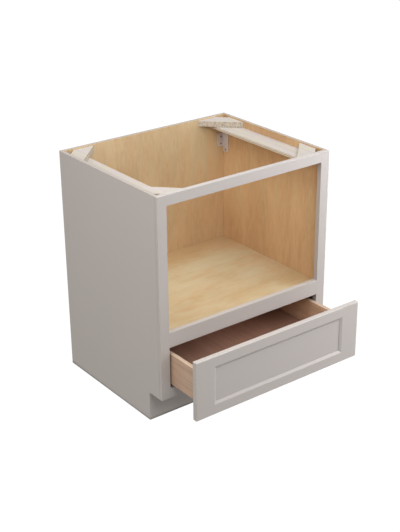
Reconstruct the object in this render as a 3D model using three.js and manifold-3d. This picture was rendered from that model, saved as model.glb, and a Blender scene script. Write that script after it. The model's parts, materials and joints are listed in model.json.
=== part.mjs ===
// A framed base cabinet for a microwave: an open bay above one full-width drawer.
// A plywood carcass stands behind a painted hardwood face frame. Its top is open and braced by strips
// and corner blocks. The dovetailed drawer box has a five-piece front and runs on telescopic slides
// that hide under its bottom. The drawer is drawn partly open, as it stands when someone looks in.
//
// Millimetres. +X is to the right of someone facing the front, +Y runs into the wall, +Z is up.
// The origin is on the floor at the wall, midway between the two sides.

import * as THREE from 'three';
import { mergeVertices } from 'three/addons/utils/BufferGeometryUtils.js';
import Module from 'manifold-3d';

const wasm = await Module();
wasm.setup();

// ---------------------------------------------------------------- driving dimensions

// Carcass
const WIDTH = 762;
const DEPTH = 609.6;
const HEIGHT = 876.3;
const SIDE_T = 12.7;
const BACK_T = 12.7;
const BOTTOM_T = 12.7;
const DECK_T = 19.05;
const DECK_LIP = 19.05; // how far the face frame's middle rail stands above the deck
const HOUSING = 6.35; // how deep the deck, the bottom and the back are let into a side panel
const TONGUE_T = 9.5; // of the tongues that the deck and the bottom have for it
const TOE_DEPTH = 76.2;
const TOE_HEIGHT = 114.3;
const TOE_BOARD_T = 12.7;
const SEAT = 0.25; // gap left between pieces that are glued, nailed or screwed to each other

// Face frame
const FRAME_T = 19.05;
const STILE_W = 38.1;
const TOP_RAIL_H = 38.1;
const MIDDLE_RAIL_H = 57.15;
const BOTTOM_RAIL_H = 38.1;
const DRAWER_OPENING_H = 161;
const TENON_L = 12.7;
const TENON_T = 6.35;
const TENON_SHOULDER = 6; // rail left above and below a tenon
const FRAME_RABBET = 6.35; // how far a side panel runs into the back of its stile

// Bracing of the open top
const BLOCK_LEG = 127;
const BLOCK_CLIP = 40;
const BLOCK_T = 22.2;
const BLOCK_DROP = 5.5; // blocks lie this far below the top edges of the carcass
const STRIP_W = 73;
const STRIP_T = 12.7;

// Steel corner brackets high in the back corners
const BRACKET_DROP = 75.5;
const BRACKET_LEG = 32;
const BRACKET_T = 2;
const BRACKET_BACK_H = 56;
const BRACKET_SIDE_H = 78;
const BRACKET_FILLET = 5;
const BRACKET_SCREW_INSET = 15.5; // from the side panel to the screws in the back flange
const BRACKET_SCREW_DROPS = [15.5, 44.5]; // of those screws, below the bracket's top
const BRACKET_LOW_SCREW_INSET = 17; // from the back panel to the screw in the side flange
const BRACKET_LOW_SCREW_RISE = 9; // of that screw, above the bracket's foot

// Drawer box
const BOX_SIDE_GAP = 5; // box to opening, each side
const BOX_LIFT = 15; // box above the bottom rail
const BOX_H = 119.6;
const BOX_T = 15.9;
const BOX_LENGTH = 533.4;
const BOX_BOTTOM_T = 6.35;
const BOX_BOTTOM_LIFT = 12.7; // underside of the drawer bottom above the box's lower edge
const BOX_GROOVE = 6.35;
const TAIL_COUNT = 4;
const TAIL_SHARE = 0.62; // a tail's broad end as a share of the pitch
const TAIL_SLOPE = Math.tan(THREE.MathUtils.degToRad(9));
const TAIL_LAP = 4.8; // wood left in front of the half-blind tails

// Drawer front
const FRONT_SIDE_REVEAL = 8;
const FRONT_BOTTOM_REVEAL = 7.4;
const FRONT_TOP_REVEAL = 24.8;
const FRONT_T = 19.05;
const FRONT_STILE_W = 86.2; // with its bevel
const FRONT_RAIL_H = 48.1;
const BEVEL_W = 10;
const BEVEL_D = 5;
const BEVEL_LIP = 1;
const PANEL_T = 6.35;
const PANEL_GROOVE = 9.5;
const PANEL_FLOAT = 1; // room for the panel to swell in its grooves
const FRONT_EASE = 2.5;
const EASE_STEPS = 3;
const BUMPER_R = 4.5;
const BUMPER_T = 1.5;
const BUMPER_INSET = 14; // from the front's top and bottom edges
const BUMPER_RIM_H = 0.75; // straight rim under a bumper's domed top
const BUMPER_CROWN_R = 3.15;

// Telescopic slides
const SHEET_T = 1.5;
const RUN = 0.4; // running clearance between slide members
const SLIDE_SETBACK = 3; // slides start this far behind the face of the frame
const SLIDE_LENGTH = 533.4;
const HEAD_SETBACK = 2; // of the raised head and the middle member, behind the closed box's front board
const MIDDLE_LENGTH = 470;
const MEMBER_LENGTH = 480;
const MEMBER_SETBACK = 20; // of the drawer member, behind the drawer front
const LEG_H = 35;
const SLIDE_SCREW_DROP = 9;
const HEAD_HALF_W = 5;
const SKIRT_HALF_W = 7.5;
const SHOULDER_HALF_W = 9.5;
const MEMBER_HALF_W = 11.5;
const SHOULDER_H = 5;
const LIP_ROOM = 1;
const WEB_ROOM = 1.25;

// Hooked rear brackets and front locking clips of the slides
const REAR_PLATE_T = 3;
const REAR_PLATE_H = 50;
const REAR_SCREW_DROP = 10;
const REAR_PLATE_REACH = 20; // either side of the opening's edge
const REAR_ARM_T = 12;
const REAR_CHEEK_T = 1.75;
const REAR_HOOD_T = 2;
const REAR_GRIP = 28; // length of slide held in the bracket
const CLIP_L = 38;
const CLIP_W = 27;
const CLIP_H = 10;
const CLIP_LEVER_W = 11;
const CLIP_LEVER_L = 20;

// Screws: radii of head and shank, height of head, length of shank
const WOOD_SCREW = { head: 3.9, shank: 1.9, rise: 2.2, length: 12 };
const FRONT_SCREW = { head: 5, shank: 2.1, rise: 2.4, length: 28 };
const SLIDE_SCREW = { head: 3.6, shank: 1.9, rise: 1.4, length: 15 };
const SCREW_HOLE_GAP = 0.3;
const CROWN_SHARE = 0.62; // flat top of a screw's head, as a share of the head's radius
const RIM_SHARE = 0.45; // straight rim of the head, as a share of its height
const POINT_SHARE = 2; // length of a screw's point, in shank radii
const ROUND_SIDES = 16;
const FRONT_SCREW_INSET = 9; // from the inner face of the box side
const FRONT_SCREW_RISES = [38, 90]; // above the box's lower edge

// How far the drawer stands open
const DRAWER_OPEN = 170.2;

// Modelling
const PAST = 1; // how far a cutting shape runs on past what it cuts
const WELD = 1e-4; // corners closer than this are one

// ---------------------------------------------------------------- planes that pieces share

const halfWidth = WIDTH / 2;
const sideInside = halfWidth - SIDE_T;
const backInside = -BACK_T;
const frameFront = -DEPTH;
const frameBack = frameFront + FRAME_T;
const openingHalf = halfWidth - STILE_W;
const toeFront = -(DEPTH - TOE_DEPTH);

const bottomRailTop = TOE_HEIGHT + BOTTOM_RAIL_H;
const middleRailBottom = bottomRailTop + DRAWER_OPENING_H;
const middleRailTop = middleRailBottom + MIDDLE_RAIL_H;
const deckTop = middleRailTop - DECK_LIP;
const topRailBottom = HEIGHT - TOP_RAIL_H;
const bottomLow = bottomRailTop - SEAT - BOTTOM_T; // undersides of the bottom panel and the deck
const deckLow = deckTop - DECK_T;
const blockTop = HEIGHT - BLOCK_DROP;
const stripTop = blockTop - BLOCK_T - SEAT;

const frontHalf = halfWidth - FRONT_SIDE_REVEAL;
const frontLow = TOE_HEIGHT + FRONT_BOTTOM_REVEAL;
const frontHigh = middleRailTop - FRONT_TOP_REVEAL;
const frontBackFace = frameFront - BUMPER_T - 2 * SEAT;
const frontFace = frontBackFace - FRONT_T;
const grooveNear = BEVEL_D + BEVEL_LIP; // depths below the front's face
const grooveFar = grooveNear + PANEL_T + 2 * SEAT;

const boxHalf = openingHalf - BOX_SIDE_GAP;
const boxInside = boxHalf - BOX_T;
const boxLow = bottomRailTop + BOX_LIFT;
const boxFront = frontBackFace + SEAT;
const boxBack = boxFront + BOX_LENGTH;
const frontBoardFace = boxFront + BOX_T; // inner faces of the front and back boards
const backBoardFace = boxBack - BOX_T;
const boxBottomGroove = [boxLow + BOX_BOTTOM_LIFT, boxLow + BOX_BOTTOM_LIFT + BOX_BOTTOM_T + 2 * SEAT];
const tailPitch = BOX_H / TAIL_COUNT;
const tailLength = BOX_T - TAIL_LAP;

const slideLow = bottomRailTop + SEAT;
const slideHigh = boxBottomGroove[0];
const slideCentre = BOX_SIDE_GAP + BOX_T + RUN + MEMBER_HALF_W; // inward from the opening's edge
const slideFront = frameFront + SLIDE_SETBACK;
const slideBack = slideFront + SLIDE_LENGTH;
const rearArmFront = slideBack - REAR_GRIP;

// ---------------------------------------------------------------- materials

const finish = (color, roughness, metalness = 0) =>
  new THREE.MeshStandardMaterial({ color, roughness, metalness });

const paint = finish(0xb5aea9, 0.45);
const panelPly = finish(0xc79e6c, 0.5);
const rawPly = finish(0xd9ccbc, 0.75);
const drawerWood = finish(0xc6a384, 0.5);
const steel = finish(0xa39d98, 0.4, 0.8);
const screwSteel = finish(0x8b8580, 0.35, 0.9);
const nylon = finish(0x8f8b86, 0.6);
const rubber = finish(0xd8d6d0, 0.35);

// ---------------------------------------------------------------- shaping tools

/** A box that spans three ranges. */
function box([x0, x1], [y0, y1], [z0, z1]) {
  return new THREE.BoxGeometry(x1 - x0, y1 - y0, z1 - z0)
    .translate((x0 + x1) / 2, (y0 + y1) / 2, (z0 + z1) / 2);
}

/** An outline extruded along an axis. Its points are (y, z) on x, (x, z) on y and (x, y) on z. */
function extrude(axis, outline, [from, to]) {
  const swapped = axis === 'y';
  const corners = outline.map(([a, b]) => new THREE.Vector2(...(swapped ? [b, a] : [a, b])));
  const shape = new THREE.Shape(corners);
  const geometry = new THREE.ExtrudeGeometry(shape, { depth: to - from, bevelEnabled: false });
  geometry.translate(0, 0, from);
  const x = new THREE.Vector3(1, 0, 0);
  const y = new THREE.Vector3(0, 1, 0);
  const z = new THREE.Vector3(0, 0, 1);
  const turn = new THREE.Matrix4();
  if (axis === 'x') turn.makeBasis(y, z, x);
  if (axis === 'y') turn.makeBasis(z, x, y);
  return geometry.applyMatrix4(turn);
}

/** A geometry as a solid that can be cut and joined. */
function solid(geometry) {
  const bare = geometry.clone();
  bare.deleteAttribute('normal');
  bare.deleteAttribute('uv');
  const welded = mergeVertices(bare, WELD);
  const corners = welded.index.array;
  const triangles = [];
  for (let i = 0; i < corners.length; i += 3) {
    const [a, b, c] = [corners[i], corners[i + 1], corners[i + 2]];
    if (a !== b && b !== c && c !== a) triangles.push(a, b, c);
  }
  return new wasm.Manifold(new wasm.Mesh({
    numProp: 3,
    vertProperties: Float32Array.from(welded.attributes.position.array),
    triVerts: Uint32Array.from(triangles),
  }));
}

/** A solid as a geometry again. */
function surface(body) {
  const { vertProperties, triVerts } = body.getMesh();
  const geometry = new THREE.BufferGeometry();
  geometry.setAttribute('position', new THREE.BufferAttribute(vertProperties, 3));
  geometry.setIndex(new THREE.BufferAttribute(triVerts, 1));
  geometry.computeVertexNormals();
  return geometry;
}

const cut = (base, ...tools) =>
  surface(tools.reduce((body, tool) => body.subtract(solid(tool)), solid(base)));

const join = (base, ...others) =>
  surface(others.reduce((body, other) => body.add(solid(other)), solid(base)));

/** A round bar from a point along a direction, used to drill holes. */
function drill(point, direction, radius, length) {
  const bar = new THREE.CylinderGeometry(radius, radius, length, ROUND_SIDES);
  bar.translate(0, length / 2, 0);
  bar.applyQuaternion(new THREE.Quaternion().setFromUnitVectors(new THREE.Vector3(0, 1, 0), direction));
  return bar.translate(point.x, point.y, point.z);
}

const cabinet = new THREE.Group();
const drawer = new THREE.Group();
drawer.position.y = -DRAWER_OPEN;
const middleMembers = new THREE.Group();
middleMembers.position.y = -DRAWER_OPEN / 2; // they travel half as far as the drawer
cabinet.add(drawer, middleMembers);

/** Names a piece, moves its own origin to its middle and hangs it in its group. */
function piece(group, name, material, geometry) {
  geometry.computeBoundingBox();
  const middle = geometry.boundingBox.getCenter(new THREE.Vector3());
  const mesh = new THREE.Mesh(geometry.translate(-middle.x, -middle.y, -middle.z), material);
  mesh.name = name;
  mesh.position.copy(middle);
  group.add(mesh);
}

/** Left and right, with the sign that their x has. */
const sides = [{ hand: 'left', sign: -1 }, { hand: 'right', sign: 1 }];

/** A range of x given from a middle plane outwards, on the side that has this sign. */
const range = (sign, near, far) => (sign > 0 ? [near, far] : [-far, -near]);

// ---------------------------------------------------------------- screws

/** A pan-head screw. The point given is on the face under its head, and it is driven along a direction. */
function screw(group, name, { head, shank, rise, length }, point, direction) {
  const profile = [
    [0, length], [shank, length - POINT_SHARE * shank], [shank, 0], [head, 0],
    [head, -RIM_SHARE * rise], [CROWN_SHARE * head, -rise], [0, -rise],
  ];
  const turned = new THREE.LatheGeometry(profile.map(([r, h]) => new THREE.Vector2(r, -h)), ROUND_SIDES);
  const mesh = new THREE.Mesh(surface(solid(turned)), screwSteel);
  mesh.name = name;
  mesh.quaternion.setFromUnitVectors(new THREE.Vector3(0, -1, 0), direction);
  mesh.position.copy(point).addScaledVector(direction, -SEAT);
  group.add(mesh);
}

/** The hole that a screw needs in what it is driven into, deep enough for its point. */
const screwHole = ({ shank, length }, point, direction) =>
  drill(point.clone().addScaledVector(direction, -PAST), direction, shank + SCREW_HOLE_GAP, length + PAST);

const intoWall = new THREE.Vector3(0, 1, 0);
const outOfWall = new THREE.Vector3(0, -1, 0);

// Where the screws of a corner bracket bear on it, by side
function bracketScrews(sign) {
  const top = HEIGHT - BRACKET_DROP;
  const outward = new THREE.Vector3(sign, 0, 0);
  const upper = BRACKET_SCREW_DROPS.map((drop) => ({
    point: new THREE.Vector3(
      sign * (sideInside - BRACKET_SCREW_INSET),
      backInside - SEAT - BRACKET_T,
      top - drop,
    ),
    direction: intoWall,
  }));
  const low = {
    point: new THREE.Vector3(
      sign * (sideInside - SEAT - BRACKET_T),
      backInside - BRACKET_LOW_SCREW_INSET,
      top - BRACKET_SIDE_H + BRACKET_LOW_SCREW_RISE,
    ),
    direction: outward,
  };
  return { upper, low };
}

const rearScrewSeat = (sign) => new THREE.Vector3(
  sign * (openingHalf - REAR_PLATE_REACH / 2),
  backInside - SEAT - REAR_PLATE_T,
  slideLow + REAR_PLATE_H - REAR_SCREW_DROP,
);

const slideScrewSeat = (sign) => new THREE.Vector3(
  sign * (openingHalf - SEAT - SHEET_T),
  (frameFront + frameBack) / 2,
  slideLow + LEG_H - SLIDE_SCREW_DROP,
);

// ---------------------------------------------------------------- carcass

for (const { hand, sign } of sides) {
  const outline = [
    [0, 0], [0, HEIGHT], [frameBack - FRAME_RABBET + SEAT, HEIGHT],
    [frameBack - FRAME_RABBET + SEAT, TOE_HEIGHT], [toeFront, TOE_HEIGHT], [toeFront, 0],
  ];
  const housing = range(sign, sideInside - PAST, sideInside + HOUSING + SEAT);
  const bracket = bracketScrews(sign).low;
  piece(cabinet, `${hand}_side_panel`, panelPly, cut(
    extrude('x', outline, range(sign, sideInside, halfWidth)),
    box(housing, [backInside - SEAT, PAST], [-PAST, HEIGHT + PAST]),
    box(housing, [frameFront, backInside], [bottomLow - SEAT, bottomLow + TONGUE_T + SEAT]),
    box(housing, [frameFront, backInside], [deckLow - SEAT, deckLow + TONGUE_T + SEAT]),
    screwHole(WOOD_SCREW, bracket.point, bracket.direction),
  ));
}

const backScrewHoles = sides.flatMap(({ sign }) => [
  ...bracketScrews(sign).upper.map(({ point, direction }) => screwHole(WOOD_SCREW, point, direction)),
  screwHole(WOOD_SCREW, rearScrewSeat(sign), intoWall),
]);
const housedHalf = sideInside + HOUSING - SEAT;
piece(cabinet, 'back_panel', panelPly, cut(
  box([-housedHalf, housedHalf], [backInside, 0], [0, HEIGHT]),
  ...backScrewHoles,
));

const floorHalf = sideInside - SEAT;
const floorSpan = [frameBack + SEAT, backInside - SEAT];

/** A floor between the face frame and the back, with a tongue in the housing of each side panel. */
function housedFloor(name, low, thickness) {
  piece(cabinet, name, panelPly, join(
    box([-floorHalf, floorHalf], floorSpan, [low, low + thickness]),
    box([-housedHalf, housedHalf], floorSpan, [low, low + TONGUE_T]),
  ));
}
housedFloor('bottom_panel', bottomLow, BOTTOM_T);
housedFloor('microwave_deck', deckLow, DECK_T);

piece(cabinet, 'toe_kick_board', paint, box(
  [-floorHalf, floorHalf],
  [toeFront, toeFront + TOE_BOARD_T],
  [0, bottomLow - SEAT],
));

// ---------------------------------------------------------------- face frame

const rails = [
  { name: 'top_rail', low: topRailBottom, high: HEIGHT },
  { name: 'middle_rail', low: middleRailBottom, high: middleRailTop },
  { name: 'bottom_rail', low: TOE_HEIGHT, high: bottomRailTop },
];
const tenonSpan = [(frameFront + frameBack - TENON_T) / 2, (frameFront + frameBack + TENON_T) / 2];

for (const { hand, sign } of sides) {
  const mortises = rails.map(({ low, high }) => box(
    range(sign, openingHalf - PAST, openingHalf + TENON_L + SEAT),
    [tenonSpan[0] - SEAT, tenonSpan[1] + SEAT],
    [low + TENON_SHOULDER - SEAT, high - TENON_SHOULDER + SEAT],
  ));
  piece(cabinet, `${hand}_stile`, paint, cut(
    box(range(sign, openingHalf, halfWidth), [frameFront, frameBack], [TOE_HEIGHT, HEIGHT]),
    box(
      range(sign, sideInside - SEAT, halfWidth + PAST),
      [frameBack - FRAME_RABBET, frameBack + PAST],
      [TOE_HEIGHT - PAST, HEIGHT + PAST],
    ),
    ...mortises,
    screwHole(SLIDE_SCREW, slideScrewSeat(sign), new THREE.Vector3(sign, 0, 0)),
  ));
}

for (const { name, low, high } of rails) {
  const shoulder = openingHalf - SEAT;
  const tenonEnd = shoulder + TENON_L;
  piece(cabinet, name, paint, join(
    box([-shoulder, shoulder], [frameFront, frameBack], [low, high]),
    box([-tenonEnd, tenonEnd], tenonSpan, [low + TENON_SHOULDER, high - TENON_SHOULDER]),
  ));
}

// ---------------------------------------------------------------- bracing of the open top

for (const { hand, sign } of sides) {
  const wall = sideInside - SEAT;
  piece(cabinet, `${hand}_top_strip`, rawPly, box(
    range(sign, wall - STRIP_W, wall),
    [frameBack + SEAT, backInside - SEAT],
    [stripTop - STRIP_T, stripTop],
  ));

  const ends = [
    { end: 'back', wallY: backInside - SEAT, into: -1 },
    { end: 'front', wallY: frameBack + SEAT, into: 1 },
  ];
  for (const { end, wallY, into } of ends) {
    const outline = [
      [sign * wall, wallY + into * BLOCK_CLIP],
      [sign * wall, wallY + into * BLOCK_LEG],
      [sign * (wall - BLOCK_LEG), wallY],
      [sign * (wall - BLOCK_CLIP), wallY],
    ];
    piece(cabinet, `corner_block_${end}_${hand}`, rawPly,
      extrude('z', outline, [blockTop - BLOCK_T, blockTop]));
  }
}

// ---------------------------------------------------------------- corner brackets

for (const { hand, sign } of sides) {
  const wall = sideInside - SEAT;
  const back = backInside - SEAT;
  const top = HEIGHT - BRACKET_DROP;
  const tip = wall - BRACKET_LEG;
  const edge = back - BRACKET_LEG;
  const foot = top - BRACKET_SIDE_H;
  const backFoot = top - BRACKET_BACK_H;
  const angle = [
    [wall, back], [wall, edge], [wall - BRACKET_T, edge],
    [wall - BRACKET_T, back - BRACKET_T], [tip, back - BRACKET_T], [tip, back],
  ].map(([x, y]) => [sign * x, y]);
  const belowBackFlange = [
    [tip - PAST, foot - PAST], [tip - PAST, backFoot + BRACKET_FILLET], [tip, backFoot + BRACKET_FILLET],
    [tip + BRACKET_FILLET, backFoot], [wall - BRACKET_T, backFoot], [wall - BRACKET_T, foot - PAST],
  ].map(([x, z]) => [sign * x, z]);
  const footCorner = [
    [edge - PAST, foot - PAST], [edge - PAST, foot + BRACKET_FILLET], [edge, foot + BRACKET_FILLET],
    [edge + BRACKET_FILLET, foot], [edge + BRACKET_FILLET, foot - PAST],
  ];
  const { upper, low } = bracketScrews(sign);
  piece(cabinet, `corner_bracket_${hand}`, steel, cut(
    extrude('z', angle, [foot, top]),
    extrude('y', belowBackFlange, [back - BRACKET_T - PAST, back + PAST]),
    extrude('x', footCorner, range(sign, wall - BRACKET_T - PAST, wall + PAST)),
    ...[...upper, low].map(({ point, direction }) => screwHole(WOOD_SCREW, point, direction)),
  ));
  upper.forEach(({ point, direction }, i) => {
    screw(cabinet, `bracket_screw_${hand}_${i + 1}`, WOOD_SCREW, point, direction);
  });
  screw(cabinet, `bracket_screw_${hand}_3`, WOOD_SCREW, low.point, low.direction);
}

// ---------------------------------------------------------------- telescopic slides

// Sections are drawn as (inward from the opening's edge, up from the slide's base).
const slideHeight = slideHigh - slideLow;
const middleTop = slideHeight - SHEET_T - RUN;
const headTop = middleTop - SHEET_T - RUN;
const shoulderLow = middleTop - SHOULDER_H;
const memberLow = shoulderLow - LIP_ROOM - SHEET_T;
const middleLow = SHEET_T + RUN;
const headLow = middleLow + SHEET_T + LIP_ROOM;

/** The fixed member: a leg screwed to the stile, a foot, and a raised head that the middle one runs on. */
const cabinetSection = (c) => [
  [SEAT, 0], [c + HEAD_HALF_W, 0], [c + HEAD_HALF_W, SHEET_T],
  [c + SHEET_T / 2, SHEET_T], [c + SHEET_T / 2, headLow],
  [c + HEAD_HALF_W, headLow], [c + HEAD_HALF_W, headTop],
  [c - HEAD_HALF_W, headTop], [c - HEAD_HALF_W, headLow],
  [c - SHEET_T / 2, headLow], [c - SHEET_T / 2, SHEET_T],
  [SEAT + SHEET_T, SHEET_T], [SEAT + SHEET_T, LEG_H], [SEAT, LEG_H],
];

/** The middle member: a channel with shoulders outside and lips under the head inside. */
function middleSection(c) {
  const half = [
    [WEB_ROOM + SHEET_T / 2, middleLow], [SKIRT_HALF_W, middleLow], [SKIRT_HALF_W, shoulderLow],
    [SHOULDER_HALF_W, shoulderLow], [SHOULDER_HALF_W, middleTop],
  ];
  const hollow = [
    [SHOULDER_HALF_W - SHEET_T, middleTop - SHEET_T], [SHOULDER_HALF_W - SHEET_T, shoulderLow + SHEET_T],
    [SKIRT_HALF_W - SHEET_T, shoulderLow + SHEET_T], [SKIRT_HALF_W - SHEET_T, middleLow + SHEET_T],
    [WEB_ROOM + SHEET_T / 2, middleLow + SHEET_T],
  ];
  return mirroredSection(c, half, hollow);
}

/** The drawer member: a channel that laps over the middle one's shoulders. */
function drawerSection(c) {
  const lip = SKIRT_HALF_W + RUN;
  const half = [[lip, memberLow], [MEMBER_HALF_W, memberLow], [MEMBER_HALF_W, slideHeight]];
  const hollow = [
    [MEMBER_HALF_W - SHEET_T, slideHeight - SHEET_T], [MEMBER_HALF_W - SHEET_T, memberLow + SHEET_T],
    [lip, memberLow + SHEET_T],
  ];
  return mirroredSection(c, half, hollow);
}

/** Closes a channel's section from one half of its outside and of its hollow. */
function mirroredSection(c, half, hollow) {
  const right = ([w, h]) => [c + w, h];
  const left = ([w, h]) => [c - w, h];
  return [
    ...half.map(right), ...[...half].reverse().map(left),
    ...[...hollow].reverse().map(left), ...hollow.map(right),
  ];
}

for (const { hand, sign } of sides) {
  const placed = (section) => section.map(([inward, up]) => [sign * (openingHalf - inward), slideLow + up]);
  const seat = slideScrewSeat(sign);
  const outward = new THREE.Vector3(sign, 0, 0);

  // The head is cut back at the front, where the drawer box's front board comes to stand.
  const headFront = frontBoardFace + HEAD_SETBACK;
  piece(cabinet, `${hand}_slide_cabinet_member`, steel, cut(
    extrude('y', placed(cabinetSection(slideCentre)), [slideFront, slideBack]),
    box(
      range(sign, openingHalf - slideCentre - HEAD_HALF_W - PAST, openingHalf - SEAT - SHEET_T - LIP_ROOM),
      [slideFront - PAST, headFront],
      [slideLow + SHEET_T, slideHigh],
    ),
    screwHole(SLIDE_SCREW, seat, outward),
  ));
  screw(cabinet, `slide_screw_${hand}`, SLIDE_SCREW, seat, outward);

  piece(middleMembers, `${hand}_slide_middle_member`, steel,
    extrude('y', placed(middleSection(slideCentre)), [headFront, headFront + MIDDLE_LENGTH]));

  const memberFront = boxFront + MEMBER_SETBACK;
  piece(drawer, `${hand}_slide_drawer_member`, steel,
    extrude('y', placed(drawerSection(slideCentre)), [memberFront, memberFront + MEMBER_LENGTH]));

  // The rear bracket hoods the fixed member's leg and is screwed to the back panel.
  const legRoom = SHEET_T + 2 * SEAT;
  const roof = LEG_H + SEAT;
  const hood = [
    [-REAR_ARM_T, 0], [0, 0], [0, roof], [legRoom, roof],
    [legRoom, SHEET_T + SEAT], [legRoom + REAR_CHEEK_T, SHEET_T + SEAT],
    [legRoom + REAR_CHEEK_T, roof + REAR_HOOD_T], [-REAR_ARM_T, roof + REAR_HOOD_T],
  ];
  const wall = backInside - SEAT;
  const screwSeat = rearScrewSeat(sign);
  piece(cabinet, `${hand}_slide_rear_bracket`, nylon, cut(
    join(
      extrude('y', placed(hood), [rearArmFront, wall - REAR_PLATE_T / 2]),
      box(range(sign, openingHalf - REAR_PLATE_REACH, openingHalf + REAR_PLATE_REACH),
        [wall - REAR_PLATE_T, wall], [slideLow, slideLow + REAR_PLATE_H]),
    ),
    screwHole(WOOD_SCREW, screwSeat, intoWall),
  ));
  screw(cabinet, `rear_bracket_screw_${hand}`, WOOD_SCREW, screwSeat, intoWall);

  // The locking clip sits under the drawer bottom, against the box front, beside the drawer member.
  const clipOuter = slideCentre + MEMBER_HALF_W + RUN;
  const clipFront = boxFront + BOX_T + SEAT;
  const leverEnd = CLIP_L + CLIP_LEVER_L;
  const clipOutline = [
    [0, 0], [CLIP_W, 0], [CLIP_W, CLIP_L / 2], [CLIP_LEVER_W, CLIP_L], [CLIP_LEVER_W, leverEnd],
    [CLIP_LEVER_W / 2, leverEnd + CLIP_LEVER_W / 2], [0, leverEnd],
  ].map(([across, along]) => [sign * (openingHalf - clipOuter - across), clipFront + along]);
  piece(drawer, `${hand}_locking_clip`, nylon,
    extrude('z', clipOutline, [slideHigh - CLIP_H, slideHigh]));
}

// ---------------------------------------------------------------- drawer box

const tailTip = tailPitch * TAIL_SHARE; // widths of a tail at its broad end and at its root
const tailRoot = tailTip - 2 * tailLength * TAIL_SLOPE;
const tailMiddles = Array.from({ length: TAIL_COUNT }, (_, i) => boxLow + (i + 0.5) * tailPitch);

/** One tail's corners from its lower root round its tip, with its tip pointing along a sign of y. */
function tail(middle, root, tip) {
  return [
    [root, middle - tailRoot / 2], [tip, middle - tailTip / 2],
    [tip, middle + tailTip / 2], [root, middle + tailRoot / 2],
  ];
}

/** The socket for a tail, open on the board's inner face and wider than the tail all round. */
function socket(middle, face, depth, into) {
  const far = face + into * (depth + SEAT);
  const open = face - into * PAST;
  const root = tailRoot / 2 + SEAT;
  const tip = tailTip / 2 + SEAT;
  return [
    [open, middle - root], [face, middle - root], [far, middle - tip],
    [far, middle + tip], [face, middle + root], [open, middle + root],
  ];
}

const boxHigh = boxLow + BOX_H;

for (const { hand, sign } of sides) {
  const frontRoot = frontBoardFace + SEAT;
  const backRoot = backBoardFace - SEAT;
  const outline = [
    [frontRoot, boxLow], [backRoot, boxLow],
    ...tailMiddles.flatMap((middle) => tail(middle, backRoot, backRoot + tailLength)),
    [backRoot, boxHigh], [frontRoot, boxHigh],
    ...[...tailMiddles].reverse()
      .flatMap((middle) => tail(middle, frontRoot, frontRoot - tailLength).reverse()),
  ];
  piece(drawer, `drawer_box_${hand}_side`, drawerWood, cut(
    extrude('x', outline, range(sign, boxInside, boxHalf)),
    box(
      range(sign, boxInside - PAST, boxInside + BOX_GROOVE),
      [boxFront - PAST, boxBack + PAST],
      boxBottomGroove,
    ),
  ));
}

const socketRange = (sign) => range(sign, boxInside - SEAT, boxHalf + PAST);
const acrossInside = [-boxInside, boxInside]; // the end boards' grooves open into their outer sockets

const frontScrewSeats = sides.flatMap(({ hand, sign }) => FRONT_SCREW_RISES.map((rise, i) => ({
  name: `front_screw_${hand}_${i + 1}`,
  point: new THREE.Vector3(sign * (boxInside - FRONT_SCREW_INSET), frontBoardFace, boxLow + rise),
})));

piece(drawer, 'drawer_box_front', drawerWood, cut(
  box([-boxHalf, boxHalf], [boxFront, frontBoardFace], [boxLow, boxHigh]),
  box(acrossInside, [frontBoardFace - BOX_GROOVE, frontBoardFace + PAST], boxBottomGroove),
  ...sides.flatMap(({ sign }) => tailMiddles.map((middle) =>
    extrude('x', socket(middle, frontBoardFace, tailLength, -1), socketRange(sign)))),
  ...frontScrewSeats.map(({ point }) => screwHole(FRONT_SCREW, point, outOfWall)),
));

const slideNotch = slideCentre + MEMBER_HALF_W + 2 * LIP_ROOM - BOX_SIDE_GAP - BOX_T;
piece(drawer, 'drawer_box_back', drawerWood, cut(
  box([-boxHalf, boxHalf], [backBoardFace, boxBack], [boxLow, boxHigh]),
  box(acrossInside, [backBoardFace - PAST, backBoardFace + BOX_GROOVE], boxBottomGroove),
  ...sides.flatMap(({ sign }) => tailMiddles.map((middle) =>
    extrude('x', socket(middle, backBoardFace, tailLength, 1), socketRange(sign)))),
  ...sides.map(({ sign }) => box(
    range(sign, boxInside - slideNotch, boxInside),
    [backBoardFace - PAST, boxBack + PAST],
    [boxLow - PAST, boxBottomGroove[0]],
  )),
));

const boxBottomHalf = boxInside + BOX_GROOVE - SEAT;
piece(drawer, 'drawer_box_bottom', drawerWood, box(
  [-boxBottomHalf, boxBottomHalf],
  [frontBoardFace - BOX_GROOVE + SEAT, backBoardFace + BOX_GROOVE - SEAT],
  [boxBottomGroove[0] + SEAT, boxBottomGroove[1] - SEAT],
));

// ---------------------------------------------------------------- drawer front

// The rounding of the front's outer edges, from its side to its face
const easedArc = Array.from({ length: EASE_STEPS + 1 }, (_, i) => {
  const turn = (1 - i / EASE_STEPS) * (Math.PI / 2);
  return [FRONT_EASE * (1 - Math.sin(turn)), FRONT_EASE * (1 - Math.cos(turn))];
});

// What that rounding takes off a square corner
const easedCorner = [...easedArc, [FRONT_EASE, -PAST], [-PAST, -PAST], [-PAST, FRONT_EASE]];

/**
 * The moulded section of a frame member of the front, as (across from its outer edge, depth from its face):
 * an eased outer edge, a bevel down to the panel and the panel's groove.
 */
function frontSection(width) {
  return [
    ...easedArc, [width - BEVEL_W, 0], [width, BEVEL_D],
    [width, grooveNear], [width - PANEL_GROOVE, grooveNear],
    [width - PANEL_GROOVE, grooveFar], [width, grooveFar], [width, FRONT_T], [0, FRONT_T],
  ];
}

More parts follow.
